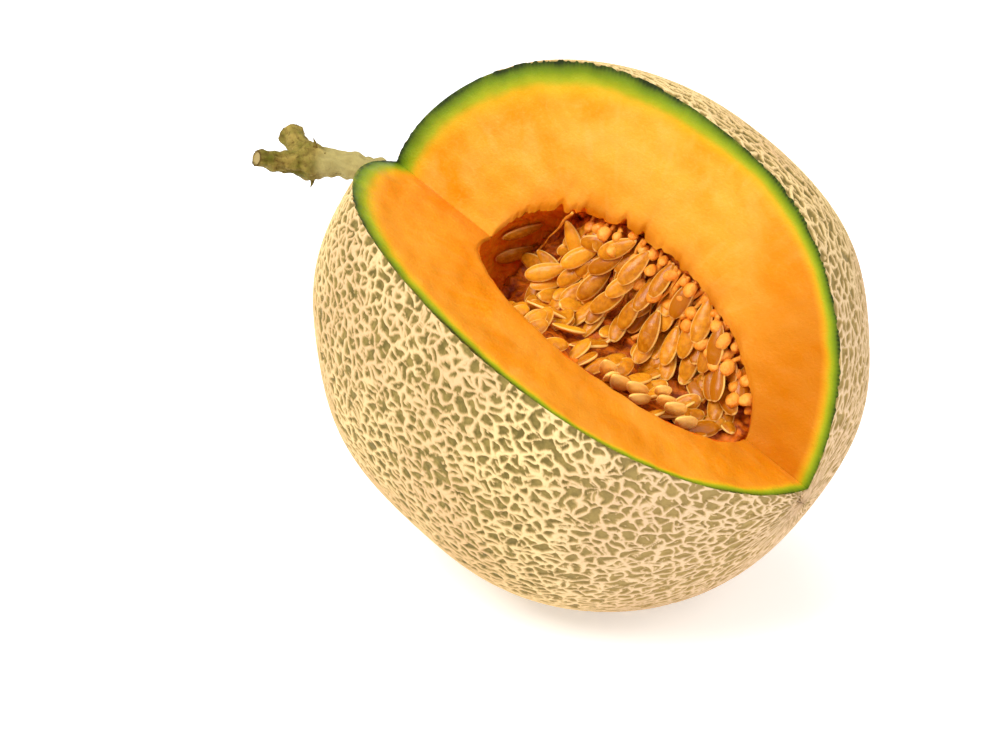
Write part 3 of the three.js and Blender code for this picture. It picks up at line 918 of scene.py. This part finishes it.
    def make_hollow(self) -> bpy.types.Object:
        """Makes the wall of the hollow, which meets both cut faces."""
        inside = self.z[np.abs(self.z - FORM.hollow_middle) < FORM.hollow_half]
        z = np.concatenate([[-FORM.hollow_blossom], inside, [FORM.hollow_stem]])
        edges = [self.ragged_hollow(z, side) for side in Side]
        ends = []
        for side, radius in zip(Side, edges):
            out = FORM.reach(side, z, radius, np.zeros_like(z))
            point = FORM.on_cut(side, z, out)
            ends.append(np.where(out > 0.0, np.arctan2(point[:, 1], point[:, 0]), 0.0))
        back, front = ends[0], ends[1] + 2.0 * math.pi
        share = np.linspace(0.0, 1.0, self.hollow_columns)
        around = (back[:, None] + share * (front - back)[:, None]).ravel()
        radius = (edges[0][:, None] * (1.0 - share) + edges[1][:, None] * share).ravel()
        height = np.repeat(z, self.hollow_columns)
        flat = np.stack([radius * np.cos(around), radius * np.sin(around), height], axis=1)
        ease = np.tile(np.sin(math.pi * share) ** 0.5, len(z)) * smooth_step(radius, 3.0 * MM, 12.0 * MM)
        swell = 0.7 * MM * ripple(flat, 7.0 * MM, 51) + 0.5 * MM * ripple(flat, 3.0 * MM, 52)
        grown = (1.0 + swell * ease / np.maximum(radius, 1.0 * MM))[:, None]
        points = flat * np.concatenate([np.repeat(grown, 2, axis=1), np.ones((len(flat), 1))], axis=1)
        sink = [FORM.cut_normal(side, height) * np.tile(np.exp(-((way * 30.0) ** 2)), len(z))[:, None]
                for side, way in ((Side.BACK, share), (Side.FRONT, 1.0 - share))]
        points = points - self.lip * (sink[0] + sink[1]) * (radius > 5.5 * MM)[:, None]
        finish = WetPulp("hollow_wall_flesh", (1.0, 0.30, 0.004), (0.90, 0.150, 0.001), 7.0 * MM).make()
        return new_piece("hollow_wall", FORM.to_floor(points), grid_faces(len(z), self.hollow_columns, True),
                         finish)

    def build(self) -> None:
        """Builds the whole fruit but for its pulp, seeds and stem."""
        points, cork = self.skin_grid()
        strips = self.make_skin(points, cork)
        flesh = CutFlesh().make()
        self.make_cut(Side.BACK, points[:, 0], flesh)
        self.make_cut(Side.FRONT, points[:, -1], flesh)
        self.make_hollow()
        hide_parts("melon_body")


def remeshed(node: str, voxel: float) -> tuple[np.ndarray, np.ndarray, np.ndarray]:
    """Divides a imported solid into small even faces.

    Args:
        node: The solid's name.
        voxel: The size of the faces.

    Returns:
        Its points, their normals and its faces.
    """
    copy = bpy.data.objects.new("working_copy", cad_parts[node].data.copy())
    bpy.context.scene.collection.objects.link(copy)
    modifier = copy.modifiers.new("even", "REMESH")
    modifier.mode = "VOXEL"
    modifier.voxel_size = voxel
    smooth = copy.modifiers.new("smooth", "SMOOTH")
    smooth.iterations = 4
    evaluated = copy.evaluated_get(bpy.context.evaluated_depsgraph_get())
    mesh = evaluated.to_mesh()
    points = np.zeros(len(mesh.vertices) * 3)
    normals = np.zeros(len(mesh.vertices) * 3)
    mesh.vertices.foreach_get("co", points)
    mesh.vertices.foreach_get("normal", normals)
    faces = [tuple(polygon.vertices) for polygon in mesh.polygons]
    evaluated.to_mesh_clear()
    bpy.data.objects.remove(copy)
    return points.reshape(-1, 3), normals.reshape(-1, 3), faces


@dataclass
class SeedBed:
    """The wet pulp that fills the hollow, with the beads and strands that grow from it."""

    voxel: float = 0.9 * MM
    lump: float = 1.0 * MM
    sink: float = 0.2 * MM
    beads: int = 52
    bead_radius: float = 1.75 * MM
    bead_room: float = 3.5 * MM
    bead_tries: int = 40
    strands: int = 34
    strand_top: float = 25.0 * MM
    strand_foot: float = 36.0 * MM
    seed: int = 61

    def make_pulp(self) -> bpy.types.Object:
        """Makes the bed itself from its solid, swollen into soft lumps."""
        points, normals, faces = remeshed("seed_pulp", self.voxel)
        lumps = 0.7 * ripple(points, 8.0 * MM, 62) + 0.5 * ripple(points, 3.2 * MM, 63)
        swell = self.lump * lumps - self.sink
        # Painted shade: the bed is given a very dark red-brown, over the pulp's own orange, to stand in for
        # the shade in the gaps between the seeds.
        finish = WetPulp("wet_pulp_gap_shade", (0.84, 0.20, 0.004), (0.22, 0.028, 0.001)).make()
        piece = new_piece("pulp_bed", points + normals * swell[:, None], faces, finish)
        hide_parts("seed_pulp")
        return piece

    def make_beads(self, finish: bpy.types.Material) -> bpy.types.Object:
        """Makes the small pale knobs in crooked rows along the hollow's back rim."""
        draws = np.random.default_rng(self.seed)
        build = bmesh.new()
        placed: list[np.ndarray] = []
        for index in range(self.beads):
            row = index % 3
            for _ in range(self.bead_tries):
                share = (index // 3 + draws.uniform(-0.8, 0.8)) / (self.beads // 3 - 1)
                z = FORM.hollow_middle + FORM.hollow_half * (-0.86 + (1.26 - 0.16 * row) * share)
                seat, outward, upward = FORM.bed(z, 0.97 - 0.115 * row + draws.uniform(-0.05, 0.035))
                radius = self.bead_radius * draws.uniform(0.75, 1.15)
                centre = seat + outward * radius * draws.uniform(0.9, 2.3) - upward * 0.8 * radius
                if all(np.linalg.norm(centre - other) > self.bead_room for other in placed):
                    break
            else:
                continue
            placed.append(centre)
            droop = outward * 0.9 - upward * draws.uniform(0.2, 0.9)
            droop = droop + np.array([0.0, 0.0, draws.uniform(-0.4, 0.4)])
            turn = Vector(FORM.turn_to_floor(droop)).to_track_quat("Z", "Y").to_matrix().to_4x4()
            broad, long = radius * draws.uniform(0.85, 1.0), radius * draws.uniform(1.1, 1.5)
            scale = Matrix.Diagonal((radius, broad, long, 1.0))
            place = Matrix.Translation(FORM.to_floor(centre[None])[0]) @ turn @ scale
            bmesh.ops.create_icosphere(build, subdivisions=3, radius=1.0, matrix=place)
        points = np.array([vertex.co for vertex in build.verts])
        points += 0.12 * MM * np.stack([ripple(points, 3.0 * MM, s) for s in (64, 65, 66)], axis=1)
        faces = [[vertex.index for vertex in face.verts] for face in build.faces]
        build.free()
        return new_piece("rim_beads", points, faces, finish)

    def deep_strand(self, rings: int) -> np.ndarray:
        """Returns the line of the strand that hangs across the hollow's deep end."""
        z = np.array([self.strand_top])
        top = FORM.on_cut(Side.BACK, z, FORM.reach(Side.BACK, z, FORM.hollow(z), 0.0 * z))[0]
        bottom, _, _ = FORM.bed(self.strand_foot, 0.6)
        share = np.linspace(0.0, 1.0, rings)[:, None]
        return top + (bottom - top) * share

    def make_strands(self, finish: bpy.types.Material) -> bpy.types.Object:
        """Makes the fibres that run down the bed between the seeds, and one across the deep end."""
        draws = np.random.default_rng(self.seed + 1)
        tubes = Tubes(rings=22, sides=8)
        steps = np.linspace(0.0, 1.0, tubes.rings)
        for index in range(self.strands):
            across_hollow = index == 0
            z = FORM.hollow_middle + FORM.hollow_half * (-0.74 + 1.3 * index / self.strands)
            ups = np.linspace(0.97, draws.uniform(0.05, 0.4), tubes.rings)
            drift = draws.uniform(-9.0, 9.0) * MM
            lift = draws.uniform(0.6, 2.6) * MM
            if across_hollow:
                line, wiggle = self.deep_strand(tubes.rings), 0.25 * MM
            else:
                seats = [FORM.bed(z + drift * step, up) for step, up in zip(steps, ups)]
                line, wiggle = np.array([seat + outward * lift for seat, outward, _ in seats]), 0.5 * MM
            waves = [ripple(line, 9.0 * MM, 70 + index * 3 + axis) for axis in range(3)]
            line += wiggle * np.stack(waves, axis=1)
            way = np.gradient(line, axis=0)
            way /= np.linalg.norm(way, axis=1)[:, None]
            first = np.cross(way, [0.3, 0.2, 0.93])
            first /= np.linalg.norm(first, axis=1)[:, None]
            thick = (0.36 if across_hollow else draws.uniform(0.32, 0.75)) * MM
            tubes.add(line, thick * (0.5 + 0.7 * np.abs(np.cos(2.6 * steps))), first, np.cross(way, first))
        points = FORM.to_floor(np.concatenate(tubes.points))
        return new_piece("pulp_strands", points, tubes.faces, finish)

    def build(self) -> None:
        """Builds the bed with its beads and strands."""
        self.make_pulp()
        bead = WetPulp("bead_flesh", (0.98, 0.44, 0.055), (0.92, 0.29, 0.010), 6.0 * MM, 0.5)
        self.make_beads(bead.make())
        strand = WetPulp("strand_flesh", (0.95, 0.42, 0.05), (0.80, 0.24, 0.008), 3.0 * MM, 0.35)
        self.make_strands(strand.make())


@dataclass
class Seeds:
    """The seeds that lie on the bed, and others half buried in it."""

    rings: int = 22
    sides: int = 28
    buried: int = 84
    buried_size: Place = (5.0 * MM, 11.2 * MM, 2.3 * MM)
    deep_size: Place = (4.9 * MM, 12.4 * MM, 2.4 * MM)
    on_edge_with_painted_light: tuple[int, int] = (40, 48)
    # Painted shade: seed tone drops towards +x over this reach, by this fall, and towards the blossom end for
    # the buried seeds.
    shade_reach: float = 45.0 * MM
    shade_fall: float = 0.8
    deep_seeds: tuple[tuple[float, float], ...] = (
        (40.6 * MM, math.radians(52.0)), (40.9 * MM, math.radians(104.0)))
    seed: int = 81

    def unit(self) -> tuple[np.ndarray, np.ndarray, np.ndarray]:
        """Makes a seed one unit long, wide and thick, its point at +Y.

        Returns:
            Its points, its faces and how near each point is to its rim.
        """
        along = -np.cos(np.linspace(0.0, math.pi, self.rings)) / 2.0
        around = np.linspace(0.0, 2.0 * math.pi, self.sides, endpoint=False)
        full = np.sqrt(np.maximum(1.0 - (2.0 * along) ** 2, 0.0))
        wide = full * (1.0 - 0.46 * along - 0.5 * along**2) / 2.0 * 0.99
        thick = full**0.8 * (1.0 - 0.3 * along - 0.3 * along**2) / 2.0
        across = np.sign(np.cos(around)) * np.abs(np.cos(around)) ** 0.9
        bulge = np.sign(np.sin(around)) * np.abs(np.sin(around)) ** 1.15
        near_rim = smooth_step(np.abs(np.cos(around)), 0.72, 0.97)
        groove = 1.0 - 0.22 * np.exp(-(((np.abs(np.cos(around)) - 0.8) / 0.1) ** 2))
        points = np.stack([wide[:, None] * across[None, :], np.repeat(along[:, None], self.sides, axis=1),
                           thick[:, None] * (bulge * groove)[None, :]], axis=-1)
        rim = np.repeat(near_rim[None, :], self.rings, axis=0)
        rim = np.maximum(rim, smooth_step(np.abs(along), 0.43, 0.49)[:, None])
        return points.reshape(-1, 3), ring_faces(self.rings, self.sides)[:, [0, 3, 2, 1]], rim.ravel()

    def shaped(self, size: np.ndarray, draws: np.random.Generator) -> np.ndarray:
        """Returns one seed's points at its size, with its own slight bend and dents."""
        points, _, _ = self.unit()
        grown = points * size
        to_end = (2.0 * points[:, 1]) ** 2
        grown[:, 2] += 0.35 * MM * draws.uniform(-1.0, 1.0) * to_end
        grown[:, 0] += 0.25 * MM * draws.uniform(-1.0, 1.0) * to_end
        dents = ripple(grown, 3.5 * MM, int(draws.integers(1000)))
        grown[:, 2] += 0.10 * MM * dents * np.abs(points[:, 2]) * 2.0
        return grown

    def pose_of(self, node: str) -> tuple[np.ndarray, np.ndarray, np.ndarray]:
        """Reads a packed seed's centre, its axes as rows (broad, point, flat) and its size."""
        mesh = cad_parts[node].data
        points = np.unique(np.round(np.array([vertex.co for vertex in mesh.vertices]), 7), axis=0)
        middle = points.mean(axis=0)
        _, _, axes = np.linalg.svd(points - middle)
        point, broad = axes[0], axes[1]
        along = (points - middle) @ point
        across = np.abs((points - middle) @ broad)
        ends = along.max(), along.min()
        widths = [across[np.abs(along - 0.72 * end) < 0.3 * abs(end)].max() for end in ends]
        if widths[0] > widths[1]:
            point = -point
        axes = np.stack([broad, point, np.cross(broad, point)])
        spread = (points - middle) @ axes.T
        low, high = spread.min(axis=0), spread.max(axis=0)
        return middle + (low + high) / 2.0 @ axes, axes, high - low

    def jostle(self, draws: np.random.Generator) -> np.ndarray:
        """Returns a small random turn, mostly in a seed's own flat."""
        swing, tip = math.radians(draws.uniform(-10.0, 10.0)), math.radians(draws.uniform(-6.0, 6.0))
        return np.array(Matrix.Rotation(swing, 3, "Z") @ Matrix.Rotation(tip, 3, "X"))

    def build(self) -> None:
        """Builds each seed in its solid's place, and the buried ones."""
        finish = SeedCoat().make()
        _, faces, rim = self.unit()
        draws = np.random.default_rng(self.seed)
        seeds = [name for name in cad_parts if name.startswith("seed_") and name != "seed_pulp"]
        for node in sorted(seeds):
            centre, axes, size = self.pose_of(node)
            points = centre + self.shaped(size, draws) @ self.jostle(draws) @ axes
            # Painted shade: seeds further towards +x get a darker tone.
            along = float(np.clip(centre[0] / self.shade_reach, -1.0, 1.0))
            tone = np.full(len(points), draws.uniform(0.0, 1.1) - self.shade_fall * along)
            # The seeds standing on edge at the front rim are made pale all over: partly the pale rims that
            # show edge-on, partly painted light against the shade of the front rim.
            on_edge_with_painted_light = self.on_edge_with_painted_light[0] <= int(node[-2:]) <= self.on_edge_with_painted_light[1]
            values = {"rim": np.maximum(rim, 1.0 * on_edge_with_painted_light), "tone": tone}
            piece = new_piece(f"{node}_coat", points, faces, finish, values)
            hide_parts(node)
        self.bury(finish, faces, rim, draws)

    def bury(self, finish: bpy.types.Material, faces: np.ndarray, rim: np.ndarray,
             draws: np.random.Generator) -> bpy.types.Object:
        """Makes the seeds that are sunk in the pulp between the others, as one piece."""
        all_points, all_faces, rims, tones = [], [], [], []
        for index in range(self.buried):
            share = draws.uniform(-0.84, 0.62)
            up = draws.uniform(-0.86, 0.9)
            z = FORM.hollow_middle + FORM.hollow_half * share
            seat, outward, upward = FORM.bed(z, up)
            turn = math.radians(100.0 - 45.0 * share + draws.uniform(-26.0, 26.0))
            point = upward * math.sin(turn) - np.array([0.0, 0.0, math.cos(turn)])
            point = point - outward * math.tan(math.radians(draws.uniform(12.0, 40.0)))
            point /= np.linalg.norm(point)
            broad = np.cross(point, outward)
            broad /= np.linalg.norm(broad)
            roll = draws.uniform(-0.7, 0.7)
            broad = broad * math.cos(roll) + np.cross(point, broad) * math.sin(roll)
            axes = FORM.turn_to_floor(np.stack([broad, point, np.cross(broad, point)]))
            centre = FORM.to_floor((seat + outward * draws.uniform(0.2, 1.6) * MM)[None])[0]
            size = np.array(self.buried_size) * draws.uniform(0.86, 1.06)
            all_points.append(centre + self.shaped(size, draws) @ axes)
            all_faces.append(faces + index * len(rim))
            rims.append(rim)
            # Painted shade: buried seeds towards the blossom end get a darker tone.
            tones.append(np.full(len(rim), draws.uniform(0.0, 0.8) + self.shade_fall / 2.0 * share))
        across = np.array(FORM.lay_down)[:3, :3].T @ np.array([1.0, 0.0, 0.0])
        for index, (place, turn) in enumerate(self.deep_seeds):
            radius = float(FORM.hollow(np.array([place]))[0])
            wall = np.array([radius * math.cos(turn), radius * math.sin(turn), place])
            inward = np.array([0.0, 0.0, FORM.hollow_middle + 20.0 * MM]) - wall
            inward /= np.linalg.norm(inward)
            point = across - inward * (across @ inward)
            point /= np.linalg.norm(point)
            axes = FORM.turn_to_floor(np.stack([np.cross(point, inward), point, inward]))
            centre = FORM.to_floor((wall + inward * 1.6 * MM)[None])[0]
            all_points.append(centre + self.shaped(np.array(self.deep_size), draws) @ axes)
            all_faces.append(faces + (self.buried + index) * len(rim))
            rims.append(rim * 0.6)
            tones.append(np.full(len(rim), 0.25))
        values = {"rim": np.concatenate(rims), "tone": np.concatenate(tones)}
        return new_piece("buried_seeds", np.concatenate(all_points), np.concatenate(all_faces), finish,
                         values)


@dataclass
class VineStub:
    """The woody stem: a pedicel, a knuckle, the cut vine and a short cut shoot."""

    voxel: float = 0.45 * MM
    ridge: float = 0.28 * MM
    ridges: int = 9
    knuckle: Place = (-8.5 * MM, -7.9 * MM, 23.4 * MM)
    vine_bend: Place = (-8.9 * MM, -15.2 * MM, 26.7 * MM)
    vine_end: Place = (-7.5 * MM, -23.6 * MM, 30.7 * MM)
    stub_end: Place = (-9.2 * MM, -2.9 * MM, 36.0 * MM)
    cut_depth: float = 0.42 * MM
    cut_reach: float = 6.0 * MM
    knuckle_radius: float = 6.2 * MM
    spur_radius: float = 0.8 * MM
    spurs: tuple[tuple[Place, float, float], ...] = (
        ((0.35, -0.35, 0.9), 0.5, 3.4 * MM), ((0.15, -0.3, -0.95), -0.4, 2.6 * MM),
        ((0.7, -0.5, 0.45), 0.3, 2.2 * MM), ((-0.3, 0.8, 0.5), 0.4, 2.8 * MM))

    def limbs(self) -> list[tuple[np.ndarray, np.ndarray]]:
        """Returns each straight stretch of the stub by its two ends, in the floor's frame."""
        pole = np.array([0.0, 0.0, FORM.stem_length - FORM.dimple_depth])
        base, knuckle, bend, end, stub = (
            FORM.to_floor((pole + np.array(place))[None])[0]
            for place in ((0.0, 0.0, -2.0 * MM), self.knuckle, self.vine_bend, self.vine_end, self.stub_end))
        return [(base, knuckle), (knuckle, bend), (bend, end), (knuckle, stub)]

    def follow_limbs(self, points: np.ndarray) -> tuple[np.ndarray, np.ndarray, np.ndarray]:
        """Places points along the limb that each one is nearest to.

        Args:
            points: Places on the stub's surface.

        Returns:
            The angle round the limb, the way along it, and how young the bark is, from 0 to 1.
        """
        best = np.full(len(points), 1.0)
        turn, run, young = np.zeros((3, len(points)))
        for index, (start, end) in enumerate(self.limbs()):
            way = end - start
            length = np.linalg.norm(way)
            way = way / length
            first = np.cross(way, [0.0, 0.0, 1.0])
            first /= np.linalg.norm(first)
            second = np.cross(way, first)
            place = np.clip((points - start) @ way, 0.0, length)
            offset = points - start - place[:, None] * way
            distance = np.linalg.norm(offset, axis=1)
            nearer = distance < best
            best = np.where(nearer, distance, best)
            turn = np.where(nearer, np.arctan2(offset @ second, offset @ first), turn)
            run = np.where(nearer, place, run)
            fresh = (index == 0) * (1.0 - smooth_step(place, length - 7.0 * MM, length - 1.5 * MM))
            young = np.where(nearer, fresh, young)
        return turn, run, young

    def cut_marks(self, points: np.ndarray) -> tuple[np.ndarray, np.ndarray]:
        """Returns how much each point belongs to a cut end's pith, and to the ring round it."""
        cut_end, cut_ring = np.zeros((2, len(points)))
        for start, end in self.limbs()[2:]:
            way = (end - start) / np.linalg.norm(end - start)
            over = (points - end) @ way
            off = np.linalg.norm(points - end - over[:, None] * way, axis=1)
            is_end = smooth_step(over, -0.5 * MM, -0.1 * MM) * (off < self.cut_reach)
            limit = off[is_end > 0.5].max() if np.any(is_end > 0.5) else self.cut_reach / 2.0
            cut_end = np.maximum(cut_end, is_end * (1.0 - smooth_step(off, 0.62 * limit, 0.8 * limit)))
            cut_ring = np.maximum(cut_ring, is_end * smooth_step(off, 0.66 * limit, 0.84 * limit))
        return cut_end, cut_ring

    def build(self) -> None:
        """Builds the stub from its solid, with ridges along each limb and cut ends, and its spurs."""
        points, normals, faces = remeshed("stem", self.voxel)
        turn, run, young = self.follow_limbs(points)
        cut_end, cut_ring = self.cut_marks(points)
        twisted = turn * self.ridges + 0.8 * np.sin(run / (7.0 * MM)) + 1.3 * ripple(points, 7.0 * MM, 91)
        ridge = np.sin(twisted) * (0.55 + 0.45 * ripple(points, 6.0 * MM, 93))
        swell = self.ridge * ridge + 0.35 * MM * ripple(points, 5.0 * MM, 92)
        swell = swell * (1.0 - np.maximum(cut_end, cut_ring)) - self.cut_depth * cut_end
        finish = VineBark().make()
        piece = new_piece("vine_stub", points + normals * swell[:, None], faces, finish,
                          {"ridge": ridge, "cut_end": cut_end, "cut_ring": cut_ring, "young": young})
        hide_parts("stem")
        self.make_spurs(finish)

    def make_spurs(self, finish: bpy.types.Material) -> bpy.types.Object:
        """Makes the dry, curved leaf scars that stand out of the knuckle."""
        _, knuckle = self.limbs()[0]
        tubes = Tubes(rings=9, sides=7)
        share = np.linspace(0.0, 1.0, tubes.rings)
        for way, bend, length in self.spurs:
            out = np.array(way) / np.linalg.norm(way)
            side = np.cross(out, [0.0, 1.0, 0.2])
            side /= np.linalg.norm(side)
            foot = knuckle + out * (self.knuckle_radius - 1.0 * MM)
            line = foot + share[:, None] * length * out + (share**2)[:, None] * bend * length * side
            tubes.add(line, self.spur_radius * (1.02 - share) ** 0.7, side, np.cross(out, side))
        points = np.concatenate(tubes.points)
        blank = np.zeros(len(points))
        return new_piece("stem_spurs", points, tubes.faces, finish,
                         {"ridge": blank - 0.6, "cut_end": blank, "cut_ring": blank, "young": blank})


@dataclass(frozen=True)
class Lamp:
    """One square lamp that faces the melon."""

    name: str
    place: Place
    power: float
    size: float

    def hang(self, target: Vector) -> None:
        """Hangs the lamp in its place, turned to a target."""
        light = bpy.data.lights.new(self.name, "AREA")
        light.energy, light.size = self.power, self.size
        lamp = bpy.data.objects.new(self.name, light)
        bpy.context.scene.collection.objects.link(lamp)
        lamp.location = self.place
        lamp.rotation_euler = (target - Vector(self.place)).to_track_quat("-Z", "Y").to_euler()


@dataclass
class Studio:
    """A pale floor, soft lamps and the camera."""

    lamps: tuple[Lamp, ...] = (
        Lamp("key_lamp", (-0.62, -0.50, 0.98), 13.0, 0.6),
        Lamp("fill_lamp", (0.75, -0.5, 0.6), 4.0, 0.8),
        Lamp("top_lamp", (0.0, 0.30, 1.1), 4.5, 0.7))
    melon_middle: Place = (0.0, 0.0, 70.0 * MM)
    floor_size: float = 30.0
    camera_place: Place = (-27.2 * MM, -740.2 * MM, 392.3 * MM)
    look_down: float = math.radians(24.0)
    lens: float = 105.16
    sensor: float = 36.0
    sky: float = 0.45

    def make_floor(self) -> None:
        """Lays the floor."""
        half = self.floor_size / 2.0
        corners = [(-half, -half, 0.0), (half, -half, 0.0), (half, half, 0.0), (-half, half, 0.0)]
        mesh = bpy.data.meshes.new("studio_floor")
        mesh.from_pydata(corners, [], [(0, 1, 2, 3)])
        mesh.materials.append(StudioFloor().make())
        floor = bpy.data.objects.new("studio_floor", mesh)
        bpy.context.scene.collection.objects.link(floor)

    def make_sky(self) -> None:
        """Lights the room evenly."""
        world = bpy.data.worlds.new("soft_room")
        world.use_nodes = True
        background = world.node_tree.nodes["Background"]
        background.inputs["Color"].default_value = (1.0, 1.0, 1.0, 1.0)
        background.inputs["Strength"].default_value = self.sky
        bpy.context.scene.world = world

    def make_camera(self) -> None:
        """Stands the camera up."""
        camera = bpy.data.cameras.new("camera")
        camera.lens, camera.sensor_width = self.lens, self.sensor
        camera.clip_start = 0.01
        stand = bpy.data.objects.new("camera", camera)
        bpy.context.scene.collection.objects.link(stand)
        stand.location = self.camera_place
        stand.rotation_euler = (math.pi / 2.0 - self.look_down, 0.0, 0.0)
        bpy.context.scene.camera = stand

    def build(self) -> None:
        """Sets the studio up."""
        bpy.context.scene.view_settings.view_transform = "Standard"
        self.make_floor()
        self.make_sky()
        for lamp in self.lamps:
            lamp.hang(Vector(self.melon_middle))
        self.make_camera()


def main() -> None:
    """Builds the melon piece by piece, then the studio round it."""
    logging.basicConfig(level=logging.INFO, format="%(message)s")
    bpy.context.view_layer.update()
    MelonFlesh().build()
    SeedBed().build()
    Seeds().build()
    VineStub().build()
    Studio().build()


if __name__ == "__main__":
    main()
